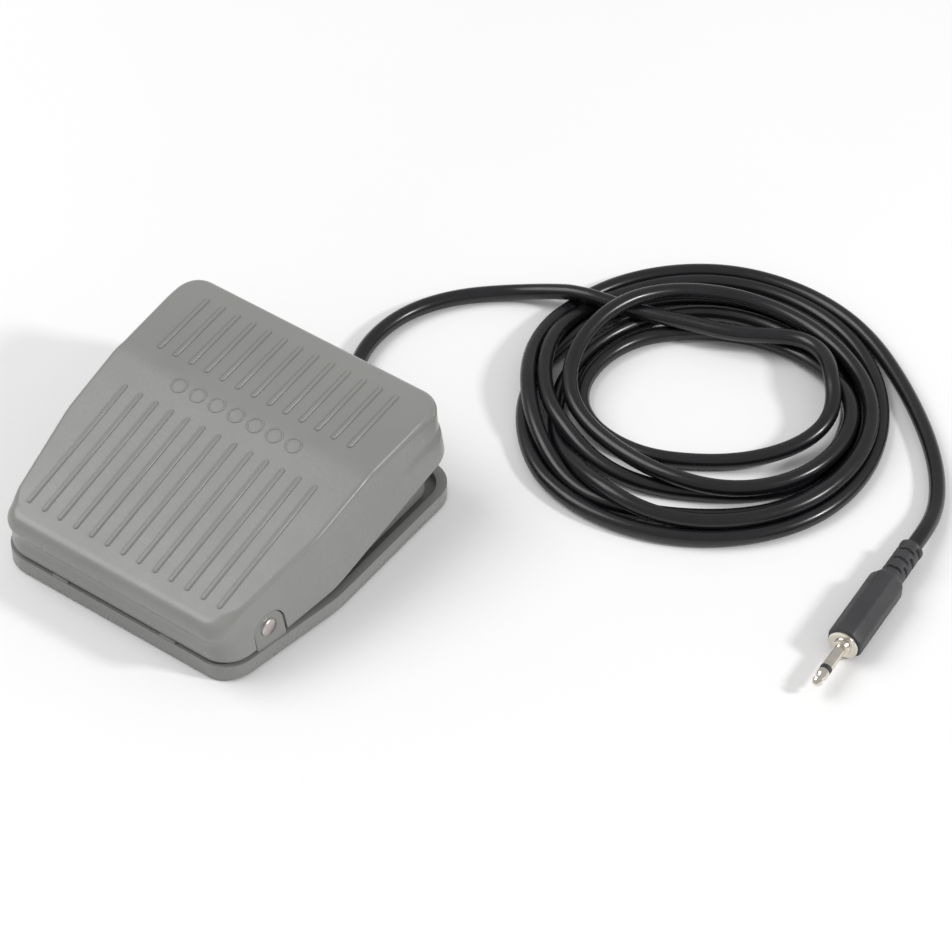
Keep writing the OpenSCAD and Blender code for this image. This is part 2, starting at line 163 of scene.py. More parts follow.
# One row a turn, the first and last being part turns: radius and height at stations an eighth
# of a turn apart, clockwise
COIL_TURNS = [
    [(39.2, 8.0), (37.8, 7.0), (24.8, 4.5), (19.8, 2.4), (25.5, 2.4), (36.4, 2.4), (37.0, 2.4)],
    [(34.6, 2.4), (38.6, 2.6), (42.3, 6.0), (38.8, 6.5), (33.2, 6.5), (31.8, 7.0), (39.8, 8.4),
     (43.6, 12.2)],
    [(45.2, 9.4), (45.4, 7.6), (48.2, 6.8), (47.6, 5.6), (46.8, 5.6), (46.6, 4.4), (43.7, 2.4),
     (43.0, 2.4)],
    [(43.2, 2.4), (42.0, 2.4), (41.2, 2.4), (38.0, 2.4), (32.4, 2.4), (37.8, 4.4), (47.0, 7.4),
     (54.2, 3.6)],
    [(57.0, 2.6), (54.8, 2.4), (51.2, 2.4), (50.0, 2.4), (49.8, 2.4), (52.8, 2.4), (53.0, 2.4),
     (50.6, 2.4)],
    [(49.0, 2.4), (47.2, 2.4), (45.6, 2.4), (44.4, 2.4), (42.0, 2.4), (48.2, 2.8), (52.2, 7.0),
     (59.6, 3.2)],
    [(61.2, 2.4), (59.8, 2.4)],
]

# From the coil to the plug's boot, close to the CAD's
TAIL_ROUTE = [
    (127, 161.2, 2.4), (144, 147.6, 2.4), (157.3, 132.8, 2.4), (164.4, 119, 3.2),
    (166.7, 108.5, 4.8), (167.5, 100.9, 5.4),
]

SPLINE_STEP = 0.6
SETTLE_STEP = 2.4
SETTLE_ROUNDS = 400
LAST_ROUNDS = 60
SEARCH_EVERY = 15
SEARCH_REACH = 1.9 * CORD_D
SEARCH_SKIP = 6
TOUCH_AT = CORD_D * 1.005
TOUCH_ROUNDS = 3
TOUCH_GAIN = 1.2
EVEN_OUT = 0.35
CORD_STIFFNESS = 0.05
HOLD = 0.02
SAG = 0.012
HELD_HEAD = 18
HELD_TAIL = 16
DRAWN_STEP = 1.2


def coil_points():
    """Points of the coil's turns, in order along the cord."""
    points = []
    station = 1
    for row in COIL_TURNS:
        for radius, height in row:
            angle = math.radians(FIRST_STATION + STATION_STEP * station)
            points.append(
                (
                    COIL_CENTRE[0] + radius * math.cos(angle),
                    COIL_CENTRE[1] + radius * math.sin(angle),
                    height,
                )
            )
            station += 1
    return points


def smooth_route(route, spacing):
    """Natural cubic spline through the route by distance along it, evenly resampled."""
    p = np.array(route, float)
    h = np.linalg.norm(np.diff(p, axis=0), axis=1)
    count = len(p)
    matrix = np.zeros((count, count))
    right = np.zeros((count, 3))
    matrix[0, 0] = matrix[-1, -1] = 1
    for i in range(1, count - 1):
        matrix[i, i - 1] = h[i - 1]
        matrix[i, i] = 2 * (h[i - 1] + h[i])
        matrix[i, i + 1] = h[i]
        right[i] = 6 * ((p[i + 1] - p[i]) / h[i] - (p[i] - p[i - 1]) / h[i - 1])
    bend = np.linalg.solve(matrix, right)
    parts = []
    for i in range(count - 1):
        steps = max(2, int(h[i] / SPLINE_STEP))
        t = (np.arange(steps) / steps * h[i])[:, None]
        u = h[i] - t
        cubic = (bend[i] * u**3 + bend[i + 1] * t**3) / (6 * h[i])
        line = (p[i] / h[i] - bend[i] * h[i] / 6) * u + (p[i + 1] / h[i] - bend[i + 1] * h[i] / 6) * t
        parts.append(cubic + line)
    parts.append(p[-1:])
    return evenly(np.concatenate(parts), spacing)


def evenly(path, spacing):
    """The path again as points at equal distances."""
    distance = np.concatenate([[0], np.cumsum(np.linalg.norm(np.diff(path, axis=0), axis=1))])
    at = np.linspace(0, distance[-1], int(round(distance[-1] / spacing)) + 1)
    return np.stack([np.interp(at, distance, path[:, axis]) for axis in range(3)], 1)


def settle(path):
    """Lets the cord's turns sag and lie on the floor and on each other, a diameter apart."""
    rest = path.copy()
    p = path.copy()
    count = len(p)
    free = np.ones((count, 1))
    free[:HELD_HEAD] = 0
    free[count - HELD_TAIL:] = 0
    index = np.arange(count)
    for step in range(SETTLE_ROUNDS):
        if step % SEARCH_EVERY == 0:
            square = (p**2).sum(1)
            gaps = square[:, None] + square[None, :] - 2 * p @ p.T
            along = np.abs(index[:, None] - index[None, :])
            near = (gaps < SEARCH_REACH**2) & (along > SEARCH_SKIP)
            first, second = np.nonzero(np.triu(near))
        move = p - rest
        p[1:-1] += free[1:-1] * EVEN_OUT * ((move[:-2] + move[2:]) / 2 - move[1:-1])
        kink = p[:-4] - 4 * p[1:-3] + 6 * p[2:-2] - 4 * p[3:-1] + p[4:]
        p[2:-2] -= free[2:-2] * CORD_STIFFNESS * kink
        if step <= SETTLE_ROUNDS - LAST_ROUNDS:
            p += free * HOLD * (rest - p)
            p[:, 2] -= free[:, 0] * SAG
        for _ in range(TOUCH_ROUNDS):
            offset = p[first] - p[second]
            distance = np.sqrt((offset**2).sum(1)) + 1e-9
            hit = distance < TOUCH_AT
            push = ((TOUCH_AT - distance[hit]) / distance[hit] * 0.5)[:, None] * offset[hit]
            total = np.zeros_like(p)
            touches = np.zeros((count, 1))
            np.add.at(total, first[hit], push)
            np.add.at(total, second[hit], -push)
            np.add.at(touches, first[hit], 1)
            np.add.at(touches, second[hit], 1)
            p += free * total / np.maximum(touches, 1) * TOUCH_GAIN
            p[:, 2] = np.maximum(p[:, 2], CORD_R)
    return p


def make_cord():
    """The whole cord as one curve, settled and redrawn finely."""
    route = LEAD_ROUTE + coil_points() + TAIL_ROUTE
    path = smooth_route(settle(smooth_route(route, SETTLE_STEP)), DRAWN_STEP)
    data = bpy.data.curves.new("cord", "CURVE")
    data.dimensions = "3D"
    data.bevel_depth = CORD_R * MM
    data.bevel_resolution = 6
    data.use_fill_caps = True
    spline = data.splines.new("POLY")
    spline.points.add(len(path) - 1)
    for point, place in zip(spline.points, path):
        point.co = (place[0] * MM, place[1] * MM, place[2] * MM, 1)
    spline.use_smooth = True
    cord = bpy.data.objects.new("cord", data)
    bpy.context.scene.collection.objects.link(cord)
    length = np.linalg.norm(np.diff(path, axis=0), axis=1).sum() * MM
    print("cord length", round(float(length), 4))
    return cord


cord = make_cord()

# ---- materials -----------------------------------------------------------


def new_material(name):
    """A material with one shader, and that shader."""
    material = bpy.data.materials.new(name)
    material.use_nodes = True
    nodes = material.node_tree.nodes
    nodes.clear()
    output = nodes.new("ShaderNodeOutputMaterial")
    shader = nodes.new("ShaderNodeBsdfPrincipled")
    material.node_tree.links.new(shader.outputs["BSDF"], output.inputs["Surface"])
    return material, shader


def noise(material, scale, detail=3.0, stretch=(1, 1, 1)):
    """Noise in the object's own coordinates; scale is in features a metre."""
    tree = material.node_tree
    place = tree.nodes.new("ShaderNodeTexCoord")
    mapping = tree.nodes.new("ShaderNodeMapping")
    mapping.inputs["Scale"].default_value = stretch
    texture = tree.nodes.new("ShaderNodeTexNoise")
    texture.inputs["Scale"].default_value = scale
    texture.inputs["Detail"].default_value = detail
    tree.links.new(place.outputs["Object"], mapping.inputs["Vector"])
    tree.links.new(mapping.outputs["Vector"], texture.inputs["Vector"])
    return texture.outputs["Fac"]


def ramp(material, value, low, high, start=0.3, end=0.7):
    """A colour ramp between two values or two colours."""
    node = material.node_tree.nodes.new("ShaderNodeValToRGB")
    node.color_ramp.elements[0].position = start
    node.color_ramp.elements[1].position = end
    for element, colour in zip(node.color_ramp.elements, (low, high)):
        if not isinstance(colour, (tuple, list)):
            colour = (colour, colour, colour)
        element.color = (*colour, 1)
    material.node_tree.links.new(value, node.inputs["Fac"])
    return node.outputs["Color"]


def bump(material, shader, height, strength, distance):
    """Adds a bump under any bump that the shader already has."""
    tree = material.node_tree
    node = tree.nodes.new("ShaderNodeBump")
    node.inputs["Strength"].default_value = strength
    node.inputs["Distance"].default_value = distance
    tree.links.new(height, node.inputs["Height"])
    if shader.inputs["Normal"].links:
        tree.links.new(shader.inputs["Normal"].links[0].from_socket, node.inputs["Normal"])
    tree.links.new(node.outputs["Normal"], shader.inputs["Normal"])


def painted_metal(name, colour, tint):
    """Sprayed semi-gloss paint: slight clouding, fine orange peel and a little grain."""
    material, shader = new_material(name)
    links = material.node_tree.links
    links.new(ramp(material, noise(material, 28), colour, tint), shader.inputs["Base Color"])
    links.new(
        ramp(material, noise(material, 160), 0.25, 0.33), shader.inputs["Roughness"]
    )
    shader.inputs["Specular IOR Level"].default_value = 0.5
    bump(material, shader, noise(material, 620, 2.0), 0.22, 0.00012)
    bump(material, shader, noise(material, 2600, 2.0), 0.12, 0.00004)
    return material


def moulded(name, colour, tint, rough=(0.4, 0.52), grain=0.15):
    """Moulded plastic or rubber with a fine surface grain."""
    material, shader = new_material(name)
    links = material.node_tree.links
    links.new(ramp(material, noise(material, 70), colour, tint), shader.inputs["Base Color"])
    links.new(ramp(material, noise(material, 240), *rough), shader.inputs["Roughness"])
    bump(material, shader, noise(material, 1800, 3.0), grain, 0.00005)
    return material


def metal(name, colour, tint, rough=(0.22, 0.34), stretch=(1, 1, 1), scale=300):
    """Bare or plated metal with fine directional marks."""
    material, shader = new_material(name)
    links = material.node_tree.links
    shader.inputs["Metallic"].default_value = 1.0
    links.new(ramp(material, noise(material, 90), colour, tint), shader.inputs["Base Color"])
    marks = noise(material, scale, 4.0, stretch)
    links.new(ramp(material, marks, *rough), shader.inputs["Roughness"])
    bump(material, shader, marks, 0.08, 0.00004)
    return material


MATERIALS = {
    "cover_paint": painted_metal("cover_paint", (0.232, 0.234, 0.224), (0.256, 0.257, 0.246)),
    "base_paint": painted_metal("base_paint", (0.215, 0.216, 0.21), (0.236, 0.237, 0.23)),
    "rubber": moulded("rubber", (0.018, 0.018, 0.018), (0.03, 0.03, 0.03), (0.6, 0.75), 0.3),
    "pin_steel": metal("pin_steel", (0.72, 0.66, 0.63), (0.58, 0.53, 0.51), (0.3, 0.45)),
    "spring_steel": metal("spring_steel", (0.55, 0.55, 0.57), (0.42, 0.42, 0.44)),
    "zinc_steel": metal("zinc_steel", (0.62, 0.62, 0.6), (0.5, 0.5, 0.46)),
    "black_plastic": moulded("black_plastic", (0.02, 0.02, 0.021), (0.032, 0.032, 0.033)),
    "red_plastic": moulded("red_plastic", (0.34, 0.045, 0.035), (0.28, 0.035, 0.03)),
    "brass": metal("brass", (0.72, 0.58, 0.32), (0.6, 0.47, 0.25)),
    "wire_insulation": moulded("wire_insulation", (0.22, 0.1, 0.06), (0.28, 0.14, 0.09)),
    "cord_pvc": moulded("cord_pvc", (0.006, 0.006, 0.007), (0.01, 0.01, 0.012), (0.22, 0.3), 0.06),
    "plug_plastic": moulded("plug_plastic", (0.03, 0.03, 0.033), (0.045, 0.045, 0.048)),
    "nickel": metal("nickel", (0.82, 0.78, 0.7), (0.72, 0.67, 0.58), (0.1, 0.2)),
}


def paint(piece, slot):
    """Gives a piece the material of a slot."""
    piece.data.materials.clear()
    piece.data.materials.append(MATERIALS[slot])


for part in frame["record"]["subparts"]:
    paint(frame["nodes"][part["node"]], part["material_slot"])

# ---- plan outlines of the pedal unit, as in the CAD ----------------------

PEDAL_L = 99.5
TOE_Y = PEDAL_L / 2
HEEL_Y = -TOE_Y
BASE_HEEL_Y = HEEL_Y + 1.2
RIDGE_Y = 11.7
RIDGE_Z = 36.7
MAIN_SLOPE = 0.244
TOE_SLOPE = 0.078
KINK_Y = -8.0
RIM_Z = 6.0
SKIRT_LINE = ((-27, 6.8), (KINK_Y, 9.2), (TOE_Y, 19.7))
CREASE = 2.4
WALL = 2.4


def facet(y):
    """Height of the cover's top and its slope along y, with the crease rounded."""
    u = max(-1.0, min(1.0, (y - RIDGE_Y) / CREASE))
    middle = (MAIN_SLOPE + TOE_SLOPE) / 2
    half = (MAIN_SLOPE - TOE_SLOPE) / 2
    slope = middle - half * u
    if abs(u) < 1:
        height = RIDGE_Z + middle * u * CREASE - half * CREASE * (u * u + 1) / 2
    else:
        height = RIDGE_Z + slope * (y - RIDGE_Y)
    return height, slope


def skirt_height(y):
    """Height of the cover's lower edge, which rises towards the toe."""
    return float(np.interp(y, *zip(*SKIRT_LINE)))


CORNER_STEPS = 10
SIDE_STEPS = {"heel": 44, "side_low": 24, "side_high": 32, "toe": 44}


def corner_arc(before, at, after, radius, steps):
    """Points of one rounded corner."""
    u = (before - at).normalized()
    v = (after - at).normalized()
    half = math.acos(max(-1.0, min(1.0, u.dot(v)))) / 2
    centre = at + (u + v).normalized() * (radius / math.sin(half))
    start = at + u * (radius / math.tan(half)) - centre
    turn = math.pi - 2 * half
    return [
        centre + Matrix.Rotation(turn * i / steps, 2) @ start for i in range(steps + 1)
    ]


def outline(heel, kink, toe, radii):
    """A counter-clockwise outline from its right heel corner, always of the same point count."""
    right = [Vector(heel), Vector(kink), Vector(toe)]
    corners = right + [Vector((-p.x, p.y)) for p in reversed(right)]
    radii = list(radii) + list(reversed(radii))
    arcs = [
        corner_arc(corners[i - 1], corners[i], corners[(i + 1) % 6], radii[i], CORNER_STEPS)
        for i in range(6)
    ]
    sides = ("side_low", "side_high", "toe", "side_high", "side_low", "heel")
    points = []
    for arc, side, following in zip(arcs, sides, arcs[1:] + arcs[:1]):
        steps = SIDE_STEPS[side]
        points += arc
        points += [arc[-1].lerp(following[0], k / steps) for k in range(1, steps)]
    return points


# Rounded plan of the base casting and of the cover's lower edge, moved inwards by d
def base_plan(d):
    return outline(
        (41 - d, BASE_HEEL_Y + d), (47.8 - d, KINK_Y), (47.8 - d, TOE_Y - d),
        (9.5 - d / 2, 40, 9.5 - d / 2),
    )


# ---- cover ---------------------------------------------------------------

ROLL_STEPS = 9
WALL_STEPS = 24
EDGE_ROUND = 0.45
INNER_LIP = 0.5
INNER_SIDE = WALL + 0.6
INNER_SIDE_DROP = 1.5
INNER_TOP = 1.2
LEDGE_AT = 10 / 24
LEDGE_END = 14 / 24


def smoothstep(low, high, value):
    t = max(0.0, min(1.0, (value - low) / (high - low)))
    return t * t * (3 - 2 * t)


def mix(a, b, share):
    return a + (b - a) * share


def roll_radius(y):
    """Radius of the cover's top edge: broad at the heel and toe, tight along the main facet's sides."""
    side = mix(1.4, 2.3, smoothstep(9, 14, y))
    side = mix(side, 4.3, smoothstep(-39, -45.5, y))
    return mix(side, 3.4, smoothstep(34, 42, y))


def groove_depth(y):
    """Depth of the hollow under the top edge."""
    depth = mix(0.05, 0.5, smoothstep(14, 32, y))
    depth = mix(depth, 0.8, smoothstep(-38, -45.5, y))
    return mix(depth, 0.55, smoothstep(32, 42, y))


def groove_shape(t, y):
    """Share of the hollow's depth down the wall: soft at the heel, a ledge round the toe."""
    soft = smoothstep(0, 0.4, t) * (1 - smoothstep(0.4, 0.85, t))
    ledge = t / LEDGE_AT if t < LEDGE_AT else 1 - smoothstep(LEDGE_AT, LEDGE_END, t)
    return mix(soft, ledge, smoothstep(0, 14, y))


def outward(points):
    """Outward directions of a counter-clockwise outline."""
    count = len(points)
    normals = []
    for i in range(count):
        along = (points[(i + 1) % count] - points[i - 1]).normalized()
        normals.append(Vector((along.y, -along.x)))
    return normals


def raised(flat, height):
    return Vector((flat.x, flat.y, height))


def coons(ring, height):
    """Grid over the inside of a ring, from its four corners' chains; height gives z."""
    first = CORNER_STEPS // 2
    side = SIDE_STEPS["side_low"] + SIDE_STEPS["side_high"] + 2 * CORNER_STEPS
    across = SIDE_STEPS["toe"] + CORNER_STEPS
    count = len(ring)
    right = [(first + k) % count for k in range(side + 1)]
    toe = [(right[-1] + k) % count for k in range(across + 1)]
    left = [(toe[-1] + k) % count for k in range(side + 1)]
    heel = [(left[-1] + k) % count for k in range(across + 1)]
    right_up, left_up = right, left[::-1]
    heel_across, toe_across = heel, toe[::-1]
    points = []
    index = {}
    for j in range(side + 1):
        v = j / side
        for i in range(across + 1):
            u = i / across
            if i == 0:
                index[i, j] = left_up[j]
            elif i == across:
                index[i, j] = right_up[j]
            elif j == 0:
                index[i, j] = heel_across[i]
            elif j == side:
                index[i, j] = toe_across[i]
            else:
                place = (
                    ring[left_up[j]] * (1 - u) + ring[right_up[j]] * u
                    + ring[heel_across[i]] * (1 - v) + ring[toe_across[i]] * v
                    - ring[heel_across[0]] * ((1 - u) * (1 - v)) - ring[heel_across[-1]] * (u * (1 - v))
                    - ring[toe_across[0]] * ((1 - u) * v) - ring[toe_across[-1]] * (u * v)
                )
                index[i, j] = count + len(points)
                points.append(raised(place, height(place.y)))
    faces = []
    for j in range(side):
        for i in range(across):
            faces.append((index[i, j], index[i + 1, j], index[i + 1, j + 1], index[i, j + 1]))
    return points, faces


def cover_rings():
    """Rings of the cover from the top's edge, down the outside, round the lower edge and up the inside."""
    top = outline((38.5, HEEL_Y), (44.6, -12), (46.0, 46.6), (6.5, 40, 7.5))
    bottom = base_plan(0.6)
    normals = outward(top)
    lower_normals = outward(bottom)
    rings = [[] for _ in range(ROLL_STEPS + WALL_STEPS + 8)]
    for edge, foot, out, foot_out in zip(top, bottom, normals, lower_normals):
        radius = roll_radius(edge.y)
        centre = edge - out * radius
        height, slope = facet(centre.y)
        rise = slope * out.y
        centre_z = height - radius * math.sqrt(1 + rise * rise)
        foot_z = skirt_height(foot.y)
        lean = math.atan2((foot - edge).dot(out), centre_z - foot_z)
        start = -math.atan(rise)
        end = math.pi / 2 - lean
        column = []
        for k in range(ROLL_STEPS + 1):
            angle = mix(start, end, k / ROLL_STEPS)
            column.append(
                raised(centre + out * radius * math.sin(angle), centre_z + radius * math.cos(angle))
            )
        last = column[-1]
        low = raised(foot, foot_z + EDGE_ROUND)
        depth = groove_depth(edge.y)
        for k in range(1, WALL_STEPS + 1):
            t = k / WALL_STEPS
            column.append(last.lerp(low, t) - raised(out, 0) * depth * groove_shape(t, edge.y))
        for angle in (30, 60, 90):
            a = math.radians(angle)
            inset = foot - foot_out * EDGE_ROUND * (1 - math.cos(a))
            column.append(raised(inset, foot_z + EDGE_ROUND * (1 - math.sin(a))))
        column.append(raised(foot - foot_out * WALL, foot_z))
        column.append(raised(foot - foot_out * WALL, foot_z + INNER_LIP))
        column.append(raised(edge - out * INNER_SIDE, centre_z - INNER_SIDE_DROP))
        inner_edge = edge - out * (radius + INNER_TOP)
        column.append(raised(inner_edge, facet(inner_edge.y)[0] - WALL))
        for ring, point in zip(rings, column):
            ring.append(point)
    return rings


def cover_shell():
    """Points and faces of the whole cover: its rings, closed by a grid over the top and one inside."""
    rings = cover_rings()
    count = len(rings[0])
    points = [p for ring in rings for p in ring]
    faces = []
    for i in range(len(rings) - 1):
        faces += [face[::-1] for face in ring_faces(i * count, (i + 1) * count, count)]
    inner_start = (len(rings) - 1) * count
    for ring, offset, height in (
        (rings[0], 0, lambda y: facet(y)[0]),
        (rings[-1], inner_start, lambda y: facet(y)[0] - WALL),
    ):
        added, grid = coons(ring, height)
        base = len(points)
        points += added
        for face in grid:
            faces.append(tuple(offset + k if k < count else base + k - count for k in face))
    return points, faces


ARCH_STEPS = 24


def arch_prism(x0, x1, centre_y, centre_z, radius, low_z, splay):
    """A prism along x with an arched top, its foot wider by `splay` towards the toe."""
    section = [(centre_y + radius + splay, low_z)]
    for k in range(ARCH_STEPS + 1):
        angle = math.pi * k / ARCH_STEPS
        section.append((centre_y + radius * math.cos(angle), centre_z + radius * math.sin(angle)))
    section.append((centre_y - radius, low_z))
    return loft([[(x, y, z) for y, z in section] for x in (x0, x1)])


def prism(low, high):
    """A box between two corners."""
    x0, y0, z0 = low
    x1, y1, z1 = high
    return loft([[(x0, y0, z), (x1, y0, z), (x1, y1, z), (x0, y1, z)] for z in (z0, z1)])


def cut(piece, shapes):
    """Takes closed shapes out of a piece."""
    for points, faces in shapes:
        tool = add_mesh("cutter", points, faces)
        modifier = piece.modifiers.new("cut", "BOOLEAN")
        modifier.operation = "DIFFERENCE"
        modifier.solver = "EXACT"
        modifier.object = tool
        apply_modifiers(piece)
        bpy.data.objects.remove(tool)


PIN_Y = -32.0
PIN_Z = 11.6
EAR_R = 5.2
EAR_GAP = 0.35
EAR_SPLAY = 0.9
EAR_FROM_X = 37.5
PAST_SIDE_X = 50
CORD_NOTCH_HALF = 7.5
CORD_NOTCH_FROM_Y = 40
CORD_NOTCH_TO_Y = 60
CORD_NOTCH_Z = 23.1

cover = add_mesh("cover_shell", *cover_shell())
notches = [
    arch_prism(s * EAR_FROM_X, s * PAST_SIDE_X, PIN_Y, PIN_Z, EAR_R + EAR_GAP, 0, EAR_SPLAY)
    for s in (-1, 1)
]
notches.append(
    prism(
        (-CORD_NOTCH_HALF, CORD_NOTCH_FROM_Y, 0),
        (CORD_NOTCH_HALF, CORD_NOTCH_TO_Y, CORD_NOTCH_Z),
    )
)
cut(cover, notches)
finish_mesh(cover, 32)
paint(cover, "cover_paint")
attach(cover, "pedal")
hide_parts("pedal_cover")

# Raised ribs on both facets
RIB_COUNT = 13
RIB_PITCH = 5.65
RIB_W = 1.3
RIB_H = 0.6
RIB_ROOT = 0.4
RIB_SIDES = 8
RIB_END_ANGLES = (8, 30, 60, 90)
RIB_BACK = 0.8
MAIN_RIBS_Y = (-42.8, 1.5)
TOE_RIBS_Y = (16.2, 39.2)


def rib(x, y0, y1):
    """One long bead with a round back and round ends."""
    half = RIB_W / 2
    turns = np.radians(RIB_END_ANGLES)
    stations = [(y0 + half * (1 - math.cos(a)), math.sin(a)) for a in turns]
    stations += [(y1 - half * (1 - math.cos(a)), math.sin(a)) for a in turns[::-1]]
    rings = []
    for y, share in stations:
        ring = []
        for k in range(RIB_SIDES + 1):
            angle = math.pi * k / RIB_SIDES
            ring.append((x + half * share * math.cos(angle), y,
                         facet(y)[0] + RIB_H * share * math.sin(angle) ** RIB_BACK))
        for side in (-1, 1):
            ring.append((x + side * half * share, y, facet(y)[0] - RIB_ROOT))
        rings.append(ring)
    return loft(rings)


# A plain row of small raised rings between the two groups of ribs
RING_COUNT = 7
RING_PITCH = 6.8
RING_Y = 8.8
RING_R = 2.3
RING_BEAD = 0.28
RING_STEPS = 32
BEAD_SIDES = 8


def raised_ring(x, y):
    """A round bead bent into a ring that follows the facet."""
    rings = []
    for k in range(RING_STEPS + 1):
        turn = 2 * math.pi * k / RING_STEPS
        ring = []
        for j in range(BEAD_SIDES):
            angle = 2 * math.pi * j / BEAD_SIDES
            reach = RING_R + RING_BEAD * math.cos(angle)
            at = y + reach * math.sin(turn)
            ring.append((x + reach * math.cos(turn), at, facet(at)[0] + RING_BEAD * math.sin(angle)))
        rings.append(ring)
    return loft(rings, False, False)


def gather(shapes):
    """Points and faces of several shapes as one."""
    points = []
    faces = []
    for more, quads in shapes:
        start = len(points)
        points += more
        faces += [tuple(start + k for k in face) for face in quads]
    return points, faces


treads = []
for i in range(RIB_COUNT):
    x = RIB_PITCH * (i - (RIB_COUNT - 1) / 2)
    treads.append(rib(x, *MAIN_RIBS_Y))
    treads.append(rib(x, *TOE_RIBS_Y))
ribs = add_mesh("tread_ribs", *gather(treads), 60)
row = [raised_ring(RING_PITCH * (i - (RING_COUNT - 1) / 2), RING_Y) for i in range(RING_COUNT)]
marks = add_mesh("tread_marks", *gather(row), 80)
for piece in (ribs, marks):
    paint(piece, "cover_paint")
    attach(piece, "pedal")

# ---- return springs ------------------------------------------------------

# The real ones shorten as the pedal goes down

SPRING_AT = (24.0, 30.0)
SPRING_R = 4.9
SPRING_WIRE_R = 0.6
SPRING_LOW_Z = 5.65
SPRING_HIGH_Z = 30.75
SPRING_TURNS = 6
SPRING_STEPS = 24
SPRING_SIDES = 10


def spring(side):
    """One coil spring, wound upwards."""
    rings = []
    total = SPRING_STEPS * SPRING_TURNS
    for i in range(total + 1):
        turn = 2 * math.pi * i / SPRING_STEPS
        height = mix(SPRING_LOW_Z, SPRING_HIGH_Z, i / total)
        ring = []
        for k in range(SPRING_SIDES):
            angle = 2 * math.pi * k / SPRING_SIDES
            radius = SPRING_R + SPRING_WIRE_R * math.cos(angle)
            ring.append((
                side * SPRING_AT[0] + radius * math.cos(turn),
                SPRING_AT[1] + radius * math.sin(turn),
                height + SPRING_WIRE_R * math.sin(angle),
            ))
        rings.append(ring)
    return loft(rings)


springs = add_mesh("coil_springs", *gather([spring(s) for s in (-1, 1)]), 60)
paint(springs, "spring_steel")
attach(springs, "base")
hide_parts("return_springs")
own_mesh(springs)

# ---- base ----------------------------------------------------------------


def soften(node, width, angle=35):
    """Rounds a CAD node's edges with modifiers."""
    piece = frame["nodes"][node]
    weld = piece.modifiers.new("weld", "WELD")
    weld.merge_threshold = 1e-5
    bevel = piece.modifiers.new("bevel", "BEVEL")
    bevel.width = width * MM
    bevel.segments = 2
    bevel.limit_method = "ANGLE"
    bevel.angle_limit = math.radians(angle)
    bevel.harden_normals = True
    for face in piece.data.polygons:
        face.use_smooth = True


SAME_HEIGHT = 0.02


def round_rim(node, height, reach, width):
    """Rounds the outer top edge of a CAD node that lies within `reach` of the plan's outline."""
    piece = frame["nodes"][node]
    group = piece.vertex_groups.new(name="rim")
    plan = np.array([tuple(p) for p in base_plan(0)])
    chosen = []
    for vertex in piece.data.vertices:
        place = np.array(piece.matrix_world @ vertex.co) / MM
        near = np.hypot(*(plan - place[:2]).T).min()
        if abs(place[2] - height) < SAME_HEIGHT and near < reach:
            chosen.append(vertex.index)
    group.add(chosen, 1.0, "REPLACE")
    bevel = piece.modifiers.new("rim", "BEVEL")
    bevel.width = width * MM
    bevel.segments = 5
    bevel.limit_method = "VGROUP"
    bevel.vertex_group = "rim"


soften("base_casting", 0.45)
round_rim("base_casting", RIM_Z, 1.2, 1.6)
soften("pivot_pin", 0.1)
soften("plug_collar", 0.12)

# ---- plug ----------------------------------------------------------------

PLUG_AT = Vector((168.55, 87.9, 5.4))
PLUG_HEADING = math.radians(-85.4)
PLUG_AXIS = Vector((math.cos(PLUG_HEADING), math.sin(PLUG_HEADING), 0))
PLUG_SIDE = Vector((-PLUG_AXIS.y, PLUG_AXIS.x, 0))


def on_plug(along, radius, angle):
    """A point around the plug's axis, `along` from the barrel's back face."""
    return (
        PLUG_AT + PLUG_AXIS * along
        + PLUG_SIDE * radius * math.cos(angle) + Vector((0, 0, radius * math.sin(angle)))
    )


def turned(profile, radius_at, sides=64):
    """A skin round the plug's axis; radius_at(along, radius, angle) shapes it."""
    rings = []
    for along, radius in profile:
        rings.append([
            on_plug(along, radius_at(along, radius, 2 * math.pi * k / sides), 2 * math.pi * k / sides)
            for k in range(sides)
        ])
    return loft(rings)


BARREL_L = 28.0
BARREL_R = 5.4
FLATS = 8
FLAT_DEPTH = 0.055
GRIP_FROM = 3.1
GRIP_TO = 27.3
GRIP_STEPS = 8


def barrel_radius(along, radius, angle):
    """Round with shallow flats along the grip."""
    period = 2 * math.pi / FLATS
    off = (angle + period / 2) % period - period / 2
    flat = (1 - FLAT_DEPTH) / math.cos(off)
    return radius * min(1.0, flat)


barrel_profile = [(0.0, 3.7), (0.15, 4.0), (1.9, 5.15), (2.5, 5.35), (GRIP_FROM, BARREL_R)]
barrel_profile += [
    (mix(GRIP_FROM, GRIP_TO, k / GRIP_STEPS), BARREL_R) for k in range(1, GRIP_STEPS + 1)
]
barrel_profile += [(27.75, BARREL_R - 0.12), (BARREL_L, BARREL_R - 0.45)]
barrel = add_mesh("barrel_grip", *turned(barrel_profile, barrel_radius), 30)

BOOT_L = 14.0
BOOT_SLOTS = 6
BOOT_PITCH = 2.0
SLOTS_FROM = -12.4
SLOT_DEPTH = 0.8
SLOT_SLANT = 0.45
SLOT_FLAT = 0.3
SLOT_EDGE = 0.62
RELIEF_FROM = -12.7
RELIEF_TO = -0.2
RELIEF_STEPS = 96


def boot_radius(along, radius, angle):
    """Staggered slanting slots, so that the boot bends."""
    place = (along - SLOTS_FROM + SLOT_SLANT * math.sin(angle)) / BOOT_PITCH
    row = math.floor(place)
    if row < 0 or row >= BOOT_SLOTS:
        return radius
    across = abs(place - row - 0.5) * 2
    band = 1 - smoothstep(SLOT_FLAT, SLOT_EDGE, across)
    facing = math.cos(2 * angle + (math.pi if row % 2 else 0))
    return radius - SLOT_DEPTH * band * smoothstep(-0.3, 0.1, facing)


